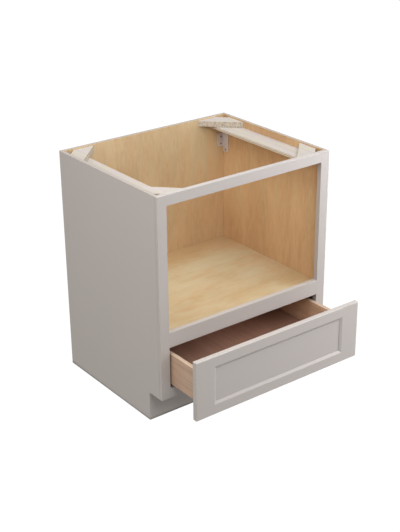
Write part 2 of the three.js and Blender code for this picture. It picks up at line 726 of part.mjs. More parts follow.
/** What a stile takes out of the end of a rail: the stile's inner edge, a seat wider. */
function copeSection(width) {
  const edge = width + SEAT;
  return [
    [0, -PAST], [edge - BEVEL_W, -PAST], [edge - BEVEL_W, 0], [edge, BEVEL_D],
    [edge, grooveNear + SEAT], [edge - PANEL_GROOVE, grooveNear + SEAT],
    [edge - PANEL_GROOVE, grooveFar - SEAT], [edge, grooveFar - SEAT],
    [edge, FRONT_T + PAST], [0, FRONT_T + PAST],
  ];
}

const stilePoints = (section, sign) =>
  section.map(([across, depth]) => [sign * (frontHalf - across), frontFace + depth]);

const railPoints = (section, edge, into) =>
  section.map(([across, depth]) => [frontFace + depth, edge + into * across]);

// The front's top and bottom edges, with the direction from each into the front
const frontEdges = [
  { end: 'top', edge: frontHigh, into: -1 },
  { end: 'bottom', edge: frontLow, into: 1 },
];

for (const { hand, sign } of sides) {
  const holes = frontScrewSeats
    .filter(({ point }) => Math.sign(point.x) === sign)
    .map(({ point }) => screwHole(FRONT_SCREW, point, outOfWall));
  piece(drawer, `drawer_front_${hand}_stile`, paint, cut(
    extrude('z', stilePoints(frontSection(FRONT_STILE_W), sign), [frontLow, frontHigh]),
    ...frontEdges.map(({ edge, into }) =>
      extrude('x', railPoints(easedCorner, edge, into), [-frontHalf - PAST, frontHalf + PAST])),
    ...holes,
  ));
}

const railReach = frontHalf - FRONT_STILE_W + Math.max(BEVEL_W, PANEL_GROOVE);
for (const { end, edge, into } of frontEdges) {
  piece(drawer, `drawer_front_${end}_rail`, paint, cut(
    extrude('x', railPoints(frontSection(FRONT_RAIL_H), edge, into), [-railReach, railReach]),
    ...sides.map(({ sign }) =>
      extrude('z', stilePoints(copeSection(FRONT_STILE_W), sign), [frontLow - PAST, frontHigh + PAST])),
  ));
}

const panelReach = PANEL_GROOVE - PANEL_FLOAT;
const panelHalf = frontHalf - FRONT_STILE_W + panelReach;
piece(drawer, 'drawer_front_panel', paint, box(
  [-panelHalf, panelHalf],
  [frontFace + grooveNear + SEAT, frontFace + grooveFar - SEAT],
  [frontLow + FRONT_RAIL_H - panelReach, frontHigh - FRONT_RAIL_H + panelReach],
));

for (const { name, point } of frontScrewSeats) {
  screw(drawer, name, FRONT_SCREW, point, outOfWall);
}

const dome = [
  [0, 0], [BUMPER_R, 0], [BUMPER_R, BUMPER_RIM_H], [BUMPER_CROWN_R, BUMPER_T], [0, BUMPER_T],
].map(([r, h]) => new THREE.Vector2(r, h));

for (const { hand, sign } of sides) {
  for (const { end, edge, into } of frontEdges) {
    const bumper = new THREE.LatheGeometry(dome, ROUND_SIDES);
    bumper.translate(sign * (halfWidth - STILE_W / 2), frontBackFace + SEAT, edge + into * BUMPER_INSET);
    piece(drawer, `bumper_${end}_${hand}`, rubber, surface(solid(bumper)));
  }
}

export default cabinet;
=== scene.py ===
# A framed base cabinet for a microwave, with one drawer below the bay, as it leaves the workshop:
# satin warm-grey paint on the face frame, the sides and the drawer front, clear-coated maple plywood
# inside, and bare plywood where a worktop will cover it. Metres, in the model's own frame.

import json
import math

import bmesh
import bpy
from mathutils import Matrix, Vector

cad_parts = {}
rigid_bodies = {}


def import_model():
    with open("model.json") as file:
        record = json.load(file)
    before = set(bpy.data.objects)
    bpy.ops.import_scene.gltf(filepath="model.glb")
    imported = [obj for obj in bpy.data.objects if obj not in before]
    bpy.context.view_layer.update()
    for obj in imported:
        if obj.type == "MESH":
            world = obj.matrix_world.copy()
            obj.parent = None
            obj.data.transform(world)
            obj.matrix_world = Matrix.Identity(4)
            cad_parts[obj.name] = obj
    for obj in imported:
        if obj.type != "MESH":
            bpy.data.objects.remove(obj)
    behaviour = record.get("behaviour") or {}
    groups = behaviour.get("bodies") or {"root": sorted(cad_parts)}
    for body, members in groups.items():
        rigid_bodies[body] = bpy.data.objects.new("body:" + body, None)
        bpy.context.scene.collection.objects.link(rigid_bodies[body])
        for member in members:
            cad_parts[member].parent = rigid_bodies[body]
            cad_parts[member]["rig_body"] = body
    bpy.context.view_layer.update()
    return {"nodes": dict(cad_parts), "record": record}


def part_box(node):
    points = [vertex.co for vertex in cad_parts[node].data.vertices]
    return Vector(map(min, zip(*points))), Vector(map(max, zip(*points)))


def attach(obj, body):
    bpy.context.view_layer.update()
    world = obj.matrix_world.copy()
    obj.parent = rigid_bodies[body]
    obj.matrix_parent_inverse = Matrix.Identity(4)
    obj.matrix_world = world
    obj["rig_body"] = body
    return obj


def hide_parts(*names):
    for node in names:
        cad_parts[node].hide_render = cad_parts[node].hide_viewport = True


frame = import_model()
nodes = frame["nodes"]

# ---------------------------------------------------------------- viewpoint
# The photograph was taken with a long lens from the front left and above, so that the eye looks down
# through the open top and into the drawer. The camera is turned by less than a degree about its axis.

PHOTO_W, PHOTO_H = 400, 532
FOCAL_LENGTH = 1110.6
EYE = Vector((-2.2917, -3.3595, 2.1541))
AZIMUTH, ELEVATION, TILT = (math.radians(angle) for angle in (-37.149, 24.442, -0.529))
FILM = 36.0


def put_in_scene(name, data):
    """A new object that carries a camera, a lamp or a mesh."""
    made = bpy.data.objects.new(name, data)
    bpy.context.collection.objects.link(made)
    return made


backwards = Vector((
    math.sin(AZIMUTH) * math.cos(ELEVATION),
    -math.cos(AZIMUTH) * math.cos(ELEVATION),
    math.sin(ELEVATION),
))
level = Vector((0, 0, 1)).cross(backwards).normalized()
upright = backwards.cross(level)
across_film = level * math.cos(TILT) + upright * math.sin(TILT)
up_film = upright * math.cos(TILT) - level * math.sin(TILT)

lens = bpy.data.cameras.new("camera")
lens.sensor_fit = "AUTO"
lens.sensor_width = FILM
lens.lens = FOCAL_LENGTH * FILM / max(PHOTO_W, PHOTO_H)
lens.clip_start, lens.clip_end = 0.1, 100
camera = put_in_scene("camera", lens)
aimed = Matrix((across_film, up_film, backwards)).transposed().to_4x4()
camera.matrix_world = Matrix.Translation(EYE) @ aimed
bpy.context.scene.camera = camera

# ---------------------------------------------------------------- studio
# A self-lit white table, so that no shadow falls round the cabinet, under a pale sky. Square lamps hang
# above it and all round, one at the table's level throws its light back up, and a faint one under the
# deck opens up the shade in the drawer. The lamp behind is too low to shine in over the open top.

SKY_STRENGTH = 0.51
TABLE_HALF = 40
TABLE_WHITE, TABLE_GLOW = 0.02, 1.0
SOFTBOXES = (  # place, what it is aimed at, side of the square, watts, tint
    ("from_table", (0, -0.35, 0.004), (0, -0.35, 1), 6.0, 53, (1.02, 1, 0.98)),
    ("overhead", (0.25, -0.75, 3.4), (0, -0.35, 0.5), 3.0, 85, (0.985, 1, 1.02)),
    ("front_high", (-0.9, -2.6, 2.6), (0, -0.4, 0.6), 1.4, 43, (0.99, 1, 1.03)),
    ("right_near", (1.3, -1.5, 0.8), (0, -0.7, 0.5), 0.8, 17, (0.99, 1, 1.06)),
    ("right_far", (1.5, -3.5, 1.8), (0, -0.5, 0.5), 2.0, 9, (0.99, 1, 1.06)),
    ("left", (-2.0, -0.45, 1.75), (-0.38, -0.4, 0.6), 1.2, 22.5, (1.02, 1, 0.98)),
    ("behind", (0.3, 2.8, 0.45), (0, 0, 0.45), 0.8, 26, (1, 1, 1)),
    ("under_deck", (0.04, -0.41, 0.325), (0.04, -0.41, 0), 0.34, 0.066, (1.15, 0.85, 0.72)),
)

sky = bpy.data.worlds.new("studio")
sky.use_nodes = True
pale_sky = sky.node_tree.nodes["Background"].inputs
pale_sky["Color"].default_value = (1, 1, 1, 1)
pale_sky["Strength"].default_value = SKY_STRENGTH
bpy.context.scene.world = sky
bpy.context.scene.view_settings.view_transform = "Standard"

for name, place, aim, size, watts, tint in SOFTBOXES:
    light = bpy.data.lights.new(name, "AREA")
    light.shape = "SQUARE"
    light.size = size
    light.energy = watts
    light.color = tint
    lamp = put_in_scene(name, light)
    lamp.location = place
    lamp.rotation_euler = (Vector(aim) - Vector(place)).to_track_quat("-Z", "Y").to_euler()
    lamp.visible_camera = False

table_mesh = bpy.data.meshes.new("table")
corners = [(x * TABLE_HALF, y * TABLE_HALF, 0) for x, y in ((-1, -1), (1, -1), (1, 1), (-1, 1))]
table_mesh.from_pydata(corners, [], [(0, 1, 2, 3)])
table = put_in_scene("table", table_mesh)
acrylic = bpy.data.materials.new("lit_acrylic")
acrylic.use_nodes = True
for socket, value in {
    "Base Color": (TABLE_WHITE, TABLE_WHITE, TABLE_WHITE, 1),
    "Roughness": 0.9,
    "Specular IOR Level": 0.1,
    "Emission Color": (1, 1, 1, 1),
    "Emission Strength": TABLE_GLOW,
}.items():
    acrylic.node_tree.nodes["Principled BSDF"].inputs[socket].default_value = value
table_mesh.materials.append(acrylic)
lit_by_glow = bpy.data.collections.new("lit_by_glow")
lit_by_glow.objects.link(table)
table.light_linking.receiver_collection = lit_by_glow

# ---------------------------------------------------------------- face frame
# Two stiles and three rails of close-grained hardwood, mortised together, sanded flush and sprayed
# with satin paint. The grain still shows faintly through the paint, along each member.

PAINT = (0.393, 0.358, 0.331)
OUTER_ARRIS, INNER_ARRIS = 0.0014, 0.0003
JOINT_FILL = 0.0002  # how far paint fills the joint at a rail's end
ARRIS_STEPS = 3  # facets round an arris
SHORTEST_ARRIS = 3  # in radii: a shorter edge stays sharp
WELD = 2e-6  # points this close are one
IN_LINE = 1e-4  # places this close line up
FLAT = 0.5  # degrees between triangles of one flat face
CREASED = 33  # degrees from which an edge shades as an edge
FACING = 0.5  # a face looks along an axis from this share of its normal
ALONG = 0.9  # and an edge runs along an axis from this share of its direction


class Wire:
    """A number or colour on its way through a finish. Arithmetic on it adds the nodes that do it."""

    def __init__(self, finish, socket):
        self.finish, self.socket = finish, socket

    def maths(self, operation, first, second=None):
        sockets = {0: first} if second is None else {0: first, 1: second}
        return self.finish.node("Math", {"operation": operation}, sockets)

    def __add__(self, other):
        return self.maths("ADD", self, other)

    def __sub__(self, other):
        return self.maths("SUBTRACT", self, other)

    def __rsub__(self, other):
        return self.maths("SUBTRACT", other, self)

    def __mul__(self, other):
        return self.maths("MULTIPLY", self, other)

    __radd__, __rmul__ = __add__, __mul__

    def wave(self):
        """Swings between 0 and 1 as the value grows."""
        return self.maths("SINE", self) * 0.5 + 0.5

    def between(self, low=0.0, high=1.0):
        """0 below low, 1 above high and smooth between."""
        settings = {"interpolation_type": "SMOOTHSTEP"}
        sockets = {"Value": self, "From Min": low, "From Max": high}
        return self.finish.node("MapRange", settings, sockets)

    def blend(self, none, full):
        """One colour where the value is 0 and another where it is 1."""
        factor, first_colour, second_colour, mixed_colour = 0, 6, 7, 2  # a Mix node's sockets
        sockets = {factor: self, first_colour: none, second_colour: full}
        return self.finish.node("Mix", {"data_type": "RGBA"}, sockets, mixed_colour)


class Finish:
    """A finish while it is mixed: its material and the nodes in it."""

    def __init__(self, name):
        self.material = bpy.data.materials.new(name)
        self.material.use_nodes = True
        self.tree = self.material.node_tree
        self.tree.nodes.clear()

    def node(self, kind, settings, sockets, output=0):
        made = self.tree.nodes.new("ShaderNode" + kind)
        for key, value in settings.items():
            setattr(made, key, value)
        for key, value in sockets.items():
            if isinstance(value, Wire):
                self.tree.links.new(value.socket, made.inputs[key])
            elif isinstance(value, tuple) and made.inputs[key].type == "RGBA":
                made.inputs[key].default_value = (*value, 1)
            else:
                made.inputs[key].default_value = value
        return Wire(self, made.outputs[output])

    def place(self, *stretch):
        """Where a point lies on the piece, in metres, stretched along each axis."""
        here = self.node("TexCoord", {}, {}, "Object")
        return self.node("VectorMath", {"operation": "MULTIPLY"}, {0: here, 1: stretch or (1, 1, 1)})

    def along(self, grain, run, cross):
        """Places for a pattern with that many repeats in a metre along the grain and across it."""
        return self.place(*(run if axis == grain else cross for axis in "xyz"))

    def clouds(self, place, detail=2.0, roughness=0.5, drift=0.0):
        return self.node("TexNoise", {}, {
            "Vector": place, "Scale": 1.0, "Detail": detail, "Roughness": roughness, "Distortion": drift,
        })

    def axis(self, name):
        return self.node("SeparateXYZ", {}, {0: self.place()}, name.upper())

    def surface(self, colour, roughness, height=None, depth=0.0, **shader):
        """Ends the finish. Height is a pattern from 0 to 1, and depth is how deep it is, in metres."""
        sockets = {"Base Color": colour, "Roughness": roughness}
        sockets |= {key.replace("_", " "): value for key, value in shader.items()}
        if height is not None:
            bump = {"Height": height, "Distance": depth, "Strength": 1.0}
            sockets["Normal"] = self.node("Bump", {}, bump)
        shaded = self.node("BsdfPrincipled", {}, sockets)
        end = self.tree.nodes.new("ShaderNodeOutputMaterial")
        self.tree.links.new(shaded.socket, end.inputs["Surface"])
        return self.material


def shade_of(colour, factor):
    return tuple(channel * factor for channel in colour)


def satin_paint(grain):
    """Sprayed paint on wood whose grain runs along an axis."""
    finish = Finish("satin_paint_" + grain)
    fibre = finish.clouds(finish.along(grain, 14, 520), detail=4, roughness=0.6)
    pores = finish.clouds(finish.along(grain, 40, 1500), detail=2)
    peel = finish.clouds(finish.place(900, 900, 900), detail=1)
    drift = finish.clouds(finish.place(3, 3, 3), detail=2)
    shade = drift * 0.5 + fibre * 0.35 + pores * 0.15
    return finish.surface(
        shade.blend(shade_of(PAINT, 0.97), shade_of(PAINT, 1.02)),
        0.40 + fibre * 0.12,
        height=fibre * 0.55 + peel * 0.3 + pores * 0.15,
        depth=0.00006,
        Coat_Weight=0.12,
        Coat_Roughness=0.3,
    )


paint = {grain: satin_paint(grain) for grain in "xyz"}


def mesh_from(name, shape):
    mesh = bpy.data.meshes.new(name)
    shape.to_mesh(mesh)
    shape.free()
    return mesh


def board(name, finish, arris, from_angle=35, reach=0.0):
    """A node's solid with its triangles joined, its arrises rounded and each face in its own finish.

    finish gives the material of a face from the way it faces, or is one material for all. arris gives
    the radius of an edge from its middle and its direction, or is one radius for all. reach lengthens
    the piece at both ends along X, so that paint fills the joints there.
    """
    source = nodes[name]
    shape = bmesh.new()
    shape.from_mesh(source.data)
    bmesh.ops.remove_doubles(shape, verts=shape.verts, dist=WELD)
    bmesh.ops.dissolve_limit(
        shape, angle_limit=math.radians(FLAT), verts=shape.verts, edges=shape.edges
    )
    for vert in shape.verts:
        vert.co.x += math.copysign(reach, vert.co.x)
    finish_of = finish if callable(finish) else lambda normal: finish
    radius_of = arris if callable(arris) else lambda middle, way: arris
    marks = shape.edges.layers.int.new("round")
    rounds = {}
    for edge in shape.edges:
        if edge.is_manifold and edge.calc_face_angle() > math.radians(from_angle):
            ends = [vert.co for vert in edge.verts]
            radius = radius_of((ends[0] + ends[1]) / 2, (ends[1] - ends[0]).normalized())
            if edge.calc_length() > SHORTEST_ARRIS * radius:
                rounds.setdefault(radius, []).append(edge)
    radii = sorted((radius for radius in rounds if radius), reverse=True)
    for number, radius in enumerate(radii, 1):
        for edge in rounds[radius]:
            edge[marks] = number
    for number, radius in enumerate(radii, 1):
        bmesh.ops.bevel(
            shape, geom=[edge for edge in shape.edges if edge[marks] == number], offset=radius,
            offset_type="OFFSET", segments=ARRIS_STEPS, profile=0.5, affect="EDGES", clamp_overlap=True,
        )
    finishes = []
    for face in shape.faces:
        material = finish_of(face.normal)
        if material not in finishes:
            finishes.append(material)
        face.material_index = finishes.index(material)
        face.smooth = True
    mesh = mesh_from(name, shape)
    for material in finishes:
        mesh.materials.append(material)
    mesh.set_sharp_from_angle(angle=math.radians(CREASED))
    piece = put_in_scene(name + "_finished", mesh)
    flat = piece.modifiers.new("flat_faces_shade_flat", "WEIGHTED_NORMAL")
    flat.keep_sharp = True
    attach(piece, source["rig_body"])
    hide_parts(name)
    return piece


frame_out, frame_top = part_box("left_stile")[0].x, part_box("left_stile")[1].z


def frame_arris(middle, way):
    outside = abs(middle.x) > -frame_out - IN_LINE or middle.z > frame_top - IN_LINE
    return OUTER_ARRIS if outside else INNER_ARRIS


def rail_arris(middle, way):
    return frame_arris(middle, way) if abs(way.x) > ALONG else 0


for stile in ("left_stile", "right_stile"):
    board(stile, paint["z"], frame_arris)
for rail in ("top_rail", "middle_rail", "bottom_rail"):
    board(rail, paint["x"], rail_arris, reach=JOINT_FILL)

# ---------------------------------------------------------------- plywood carcass
# Half-inch plywood with a clear-coated maple face inside. The sides are painted outside, and the edges
# are left bare, with their plies showing. The veneer of the walls runs upwards, the deck's runs across.

BACK_WOOD = (0.524, 0.414, 0.244), (0.590, 0.382, 0.200), (0.400, 0.252, 0.124)  # olive, rose, deep
SIDE_WOOD = (0.600, 0.446, 0.246), (0.640, 0.408, 0.214), (0.430, 0.248, 0.115)
DECK_WOOD = (0.482, 0.412, 0.260), (0.490, 0.330, 0.188), (0.388, 0.246, 0.108)
BARE_PLY = (0.425, 0.38, 0.332)
SAWN_PLY = BARE_PLY, (0.34, 0.27, 0.19), (0.35, 0.31, 0.27), (0.24, 0.17, 0.11)
DUSTED_PLY = (0.375, 0.346, 0.32), (0.315, 0.265, 0.21), (0.31, 0.28, 0.25), (0.24, 0.19, 0.15)
WALL_FIGURE, DECK_FIGURE = (2.2, 8), (6, 10)  # clouds in a metre along and across the grain
WALL_STREAKS, DECK_STREAKS = 0.6, 0.4
PLY_ARRIS = 0.0004
TOE_WRAP = 0.3  # like FACING, but low, so that the paint wraps round the toe board's arrises


def maple_veneer(name, grain, wood, figure, streaks, mix, tone_and_painted_shade):
    """Clear-coated maple veneer: a cloudy figure in bands of yellower and redder wood, with fine hairs.

    wood is its olive, its rose and its deep colour. figure is how often the clouds repeat in a metre
    along the grain and across it, and streaks is how strong the hairs are. mix leans from olive to
    rose and tone_and_painted_shade from pale to deep, and each takes the finish and gives a number or
    a pattern. Where they change with the place on the piece, they paint light and shade into the
    veneer: redder and deeper where shade falls, paler where light falls.
    """
    olive, rose, deep = wood
    finish = Finish(name)
    cloud = finish.clouds(finish.along(grain, *figure), detail=4, roughness=0.55, drift=0.6)
    band = finish.clouds(finish.along(grain, 1.3 * figure[0], 3 * figure[1]), detail=4, roughness=0.65)
    hair = finish.clouds(finish.along(grain, 22, 170), detail=3, roughness=0.7)
    fibre = finish.clouds(finish.along(grain, 30, 900), detail=3, roughness=0.65)
    curve = finish.clouds(finish.along(grain, 0.8, 4.2), detail=2, roughness=0.4)
    growth = (curve * 70).wave()
    lean = ((band - 0.5) * 2.4 + (hair - 0.5) * streaks + mix(finish)).between()
    # the last term is the sheet's own tone plus painted shade and painted light, set by place
    shade = (
        (cloud - 0.5) * 0.9 + (growth - 0.5) * 0.08 + (hair - 0.5) * (1.2 * streaks)
        + (fibre - 0.5) * 0.3 + tone_and_painted_shade(finish)
    )
    return finish.surface(
        shade.between().blend(lean.blend(olive, rose), deep),
        0.38 + fibre * 0.16,
        height=fibre * 0.7 + hair * 0.3,
        depth=0.00004,
        Coat_Weight=0.2,
        Coat_Roughness=0.25,
    )


def bare_veneer(name, grain, patches=1.0):
    """Unfinished plywood face: pale, with dry fibres and yellower and pinker patches."""
    finish = Finish(name)
    cloud = finish.clouds(finish.along(grain, 2, 9), detail=3)
    patch = finish.clouds(finish.along(grain, 14, 60), detail=3, roughness=0.65)
    streak = finish.clouds(finish.along(grain, 4, 160), detail=3, roughness=0.6)
    fibre = finish.clouds(finish.along(grain, 45, 1100), detail=3, roughness=0.7)
    shade = (cloud - 0.5) * 0.5 + (streak - 0.5) * 1.2 + (fibre - 0.5) * 0.7 + 0.4
    red, green, blue = BARE_PLY
    yellow = (red, green * (1 + 0.025 * patches), blue * (1 - 0.12 * patches))
    pink = (red, green * (1 - 0.025 * patches), blue * (1 + 0.12 * patches))
    tone = patch.between(0.38, 0.62).blend(yellow, pink)
    return finish.surface(
        shade.between().blend(tone, shade_of(BARE_PLY, 0.76)),
        0.72 + fibre * 0.15,
        height=fibre,
        depth=0.00009,
    )


def ply_edge(name, through, plies, speckling=0.35, tones=SAWN_PLY):
    """The bare sawn edge of a sheet: plies stacked along an axis, every second one in end grain.

    tones are the colours of the long plies, the cross plies, the specks and the glue lines.
    """
    long_ply, cross_ply, specks, glue_line = tones
    low, high = (corner["xyz".index(through)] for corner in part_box(name))
    finish = Finish(name + "_edge")
    depth = (finish.axis(through) - low) * (1 / (high - low))
    waver = finish.clouds(finish.place(60, 60, 60), detail=2) - 0.5
    stack = depth * plies + waver * 0.12
    turn = (stack * math.pi - math.pi / 2).wave().between(0.35, 0.65)
    speckle = finish.clouds(finish.place(1400, 1400, 1400), detail=2, roughness=0.7)
    glue = (stack * (2 * math.pi) - math.pi / 2).wave().between(0.9, 1.0)
    blotch = finish.clouds(finish.place(170, 170, 110), detail=3, roughness=0.7).between(0.44, 0.6)
    worn = speckle * (1 - speckling) + blotch * speckling
    end_grain = worn.between(0.3, 0.7).blend(cross_ply, specks)
    layers = turn.blend(worn.blend(long_ply, specks), end_grain)
    return finish.surface(
        (glue * 0.6).blend(layers, glue_line),
        0.8,
        height=speckle * 0.6 + turn * 0.4,
        depth=0.00025,
    )


# Back wall: the hue leans redder lower down and towards the right-hand corner, painted warm shade, and
# the veneer is paler high up near that corner, painted light that lifts the shade under the corner
# block.
back_veneer = maple_veneer(
    "back_veneer", "z", BACK_WOOD, WALL_FIGURE, WALL_STREAKS,
    mix=lambda finish: (
        0.85 - finish.axis("z").between(0.35, 0.87) * 0.75 + finish.axis("x").between(0.1, 0.36) * 0.4
    ),
    tone_and_painted_shade=lambda finish: (
        0.43 - finish.axis("x").between(0.2, 0.38) * finish.axis("z").between(0.55, 0.75) * 0.3
    ),
)
# Side walls: deeper from halfway up to the strips and above them, painted shade under the strips; the
# hue leans redder low down, painted warm shade, and turns yellower at the height of the strips, painted
# light.
side_veneer = maple_veneer(
    "side_veneer", "z", SIDE_WOOD, WALL_FIGURE, WALL_STREAKS,
    mix=lambda finish: (
        1.0 - finish.axis("z").between(0.4, 0.6) * 0.4 - finish.axis("z").between(0.78, 0.86) * 1.1
    ),
    tone_and_painted_shade=lambda finish: 0.4 + finish.axis("z").between(0.6, 0.86) * 0.35,
)
# Deck: deeper and redder towards the back wall and redder towards the right wall, painted shade where
# the walls meet it; paler towards the front, painted light.
deck_veneer = maple_veneer(
    "deck_veneer", "x", DECK_WOOD, DECK_FIGURE, DECK_STREAKS,
    mix=lambda finish: (
        0.15 + finish.axis("y").between(-0.18, -0.01) + finish.axis("x").between(0.2, 0.37) * 0.5
    ),
    tone_and_painted_shade=lambda finish: (
        0.47 - finish.axis("y").between(-0.52, -0.35) * 0.15
        + finish.axis("y").between(-0.22, 0.0) * 0.35
    ),
)
back_face = bare_veneer("back_face", "z", patches=0.35)
under_face = bare_veneer("under_face", "x")


def sheet(through, upper, lower, edge, lower_from=FACING):
    """A sheet's finish on its two faces, upper and lower along the axis through it, and on its edge."""
    axis = "xyz".index(through)

    def finish_of(normal):
        return upper if normal[axis] > FACING else lower if normal[axis] < -lower_from else edge

    return finish_of


for hand, outward in (("left", -1), ("right", 1)):
    name = hand + "_side_panel"
    edge = ply_edge(name, "x", 9, tones=DUSTED_PLY)

    def side_finish(normal, outward=outward, edge=edge):
        out, forward_or_down = normal.x * outward, normal.y < -FACING or normal.z < -FACING
        if out > FACING or forward_or_down and out > -FACING:
            return paint["z"]
        return side_veneer if out < -FACING else edge

    board(name, side_finish, PLY_ARRIS)

back_edge = ply_edge("back_panel", "y", 9, tones=DUSTED_PLY)
board("back_panel", sheet("y", back_face, back_veneer, back_edge), PLY_ARRIS)
for name, plies in (("microwave_deck", 13), ("bottom_panel", 9)):
    floor_edge = ply_edge(name, "z", plies)
    board(name, sheet("z", deck_veneer, under_face, floor_edge), PLY_ARRIS)
toe_edge = ply_edge("toe_kick_board", "y", 9)
board("toe_kick_board", sheet("y", back_face, paint["x"], toe_edge, TOE_WRAP), INNER_ARRIS)

# ---------------------------------------------------------------- strips and corner blocks
# Bare plywood cut on the table saw: a flat strip along each side stiffens the open top, and four
# blocks with a clipped corner hold the carcass square. The blocks' long edges are sawn at 45 degrees.

SAWN_ARRIS = 0.0005
STRIP_PLY = (0.56, 0.45, 0.32), (0.58, 0.52, 0.44), (0.48, 0.42, 0.34), (0.03, 0.02, 0.01)
BLOCK_PLY = (0.50, 0.44, 0.36), (0.47, 0.40, 0.315), (0.30, 0.245, 0.18), (0.24, 0.19, 0.14)

strip_face = bare_veneer("strip_face", "y")
block_face = bare_veneer("block_face", "y")
block_edge = ply_edge("corner_block_back_left", "z", 7, speckling=0.8, tones=BLOCK_PLY)
for hand in ("left", "right"):
    strip = hand + "_top_strip"
    strip_edge = ply_edge(strip, "z", 1.25, tones=STRIP_PLY)
    board(strip, sheet("z", strip_face, strip_face, strip_edge), SAWN_ARRIS)
    for end in ("back", "front"):
        finish = sheet("z", block_face, block_face, block_edge)
        board(f"corner_block_{end}_{hand}", finish, SAWN_ARRIS)

# ---------------------------------------------------------------- drawer box
# Four hardwood boards joined by half-blind dovetails, with a thin plywood bottom in a groove. The box
# has a clear coat, and its top arrises are rounded over. The grain runs the length of each board, and
# from front to back on the bottom.

OUTER_WOOD = (0.475, 0.328, 0.228), (0.345, 0.215, 0.14)  # pale, deep
# The inner faces are the boards' own wood painted paler and redder: painted light and warm bounce inside
# the box.
INNER_WOOD_PAINTED_LIGHT = (0.60, 0.395, 0.252), (0.43, 0.255, 0.152)
UPPER_WOOD = (0.452, 0.343, 0.25), (0.325, 0.223, 0.152)
# The bottom is painted darker and redder than its wood: painted shade, as it lies in the box's shade.
BASE_WOOD_PAINTED_SHADE = (0.323, 0.177, 0.122), (0.228, 0.115, 0.075)
END_GRAIN = (0.27, 0.165, 0.1)
END_ON = 0.8  # like FACING, for the ends of the boards
BOX_ARRIS = 0.00025
ROUND_OVER = 0.0018
BOARD_STRIPES, BASE_STRIPES = (5, 210), (2.5, 45)  # streaks in a metre along and across the grain


def sawn_edge(name, pale, dark):
    """A saw cut across the grain: coarse speckled end grain with the marks of the blade."""
    finish = Finish(name)
    speckle = finish.clouds(finish.place(520, 520, 340), detail=3, roughness=0.75)
    grit = finish.clouds(finish.place(1700, 1700, 1100), detail=2, roughness=0.7)
    marks = finish.clouds(finish.place(190, 190, 12), detail=1)
    shade = speckle * 0.6 + grit * 0.25 + marks * 0.15
    return finish.surface(
        shade.between(0.36, 0.62).blend(dark, pale),
        0.85,
        height=speckle * 0.7 + marks * 0.3,
        depth=0.0005,
    )


def drawer_board(name, grain, wood, stripes=BOARD_STRIPES):
    """Clear-coated hardwood: long flowing lines, with short dark pores."""
    pale, deep = wood
    finish = Finish(name)
    cloud = finish.clouds(finish.along(grain, 1.6, 12), detail=2, drift=0.4)
    curve = finish.clouds(finish.along(grain, 0.9, 11), detail=2, roughness=0.45)
    growth = (curve * 120).wave()
    streak = finish.clouds(finish.along(grain, *stripes), detail=3, roughness=0.6)
    pore = finish.clouds(finish.along(grain, 55, 1300), detail=2, roughness=0.6)
    shade = (
        (cloud - 0.5) * 0.7 + (growth - 0.5) * 0.26 + (streak - 0.5) * 0.8 + (pore - 0.5) * 0.6 + 0.4
    )
    return finish.surface(
        shade.between().blend(pale, deep),
        0.38 + pore * 0.15,
        height=pore * 0.6 + growth * 0.4,
        depth=0.00005,
        Coat_Weight=0.2,
        Coat_Roughness=0.25,
    )


end_grain = sawn_edge("drawer_end_grain", OUTER_WOOD[1], END_GRAIN)
grain_and_outward = {
    "drawer_box_left_side": ("y", (-1, 0, 0)), "drawer_box_right_side": ("y", (1, 0, 0)),
    "drawer_box_front": ("x", (0, -1, 0)), "drawer_box_back": ("x", (0, 1, 0)),
}
outer = {grain: drawer_board("drawer_outside_" + grain, grain, OUTER_WOOD) for grain in "xy"}
# inside faces take the paler, redder copy of the wood: painted light
inner = {grain: drawer_board("drawer_inside_" + grain, grain, INNER_WOOD_PAINTED_LIGHT) for grain in "xy"}
upper = {grain: drawer_board("drawer_rim_" + grain, grain, UPPER_WOOD) for grain in "xy"}
# the bottom's finish carries painted shade
drawer_base_painted_shade = drawer_board("drawer_base_painted_shade", "y", BASE_WOOD_PAINTED_SHADE, BASE_STRIPES)
box_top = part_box("drawer_box_left_side")[1].z
for name, (grain, outward) in grain_and_outward.items():
    run = Vector([axis == grain for axis in "xyz"])

    def drawer_face(normal, run=run, grain=grain, outward=Vector(outward)):
        if abs(normal.dot(run)) > END_ON:
            return end_grain
        side = inner if normal.dot(outward) < -FACING else upper if normal.z > FACING else outer
        return side[grain]

    def box_arris(middle, way, run=run):
        at_top = middle.z > box_top - IN_LINE
        return ROUND_OVER if at_top and abs(way.dot(run)) > ALONG else BOX_ARRIS

    board(name, drawer_face, box_arris)
board("drawer_box_bottom", drawer_base_painted_shade, BOX_ARRIS)

# ---------------------------------------------------------------- drawer front
# A five-piece front: stiles, coped rails and a flat panel in their grooves, painted as one. The outer
# edges are eased and an inner bevel leads down to the panel. Hair lines show where the parts meet.

FRONT_ARRIS = 0.00035
FRONT_ANGLE = 25  # degrees from which its edges are eased, which takes in the bevel's

for part, grain in (
    ("left_stile", "z"), ("right_stile", "z"), ("top_rail", "x"), ("bottom_rail", "x"), ("panel", "x"),
):
    run = Vector([axis == grain for axis in "xyz"])

    def front_arris(middle, way, run=run):
        return FRONT_ARRIS if abs(way.dot(run)) > ALONG else 0

    reach = JOINT_FILL if "rail" in part else 0.0
    board("drawer_front_" + part, paint[grain], front_arris, FRONT_ANGLE, reach)

# ---------------------------------------------------------------- slides, brackets and clips
# The telescopic slides are roll-formed from zinc-plated strip, the corner brackets are bent from
# thicker sheet. The rear brackets and the locking clips are moulded in grey nylon.

ZINC = (0.56, 0.52, 0.50)
BRACKET_ZINC = (0.63, 0.56, 0.535)
NYLON = (0.27, 0.26, 0.25)
SLIDE_ARRIS, BRACKET_ARRIS, NYLON_ARRIS = 0.00025, 0.0004, 0.0006


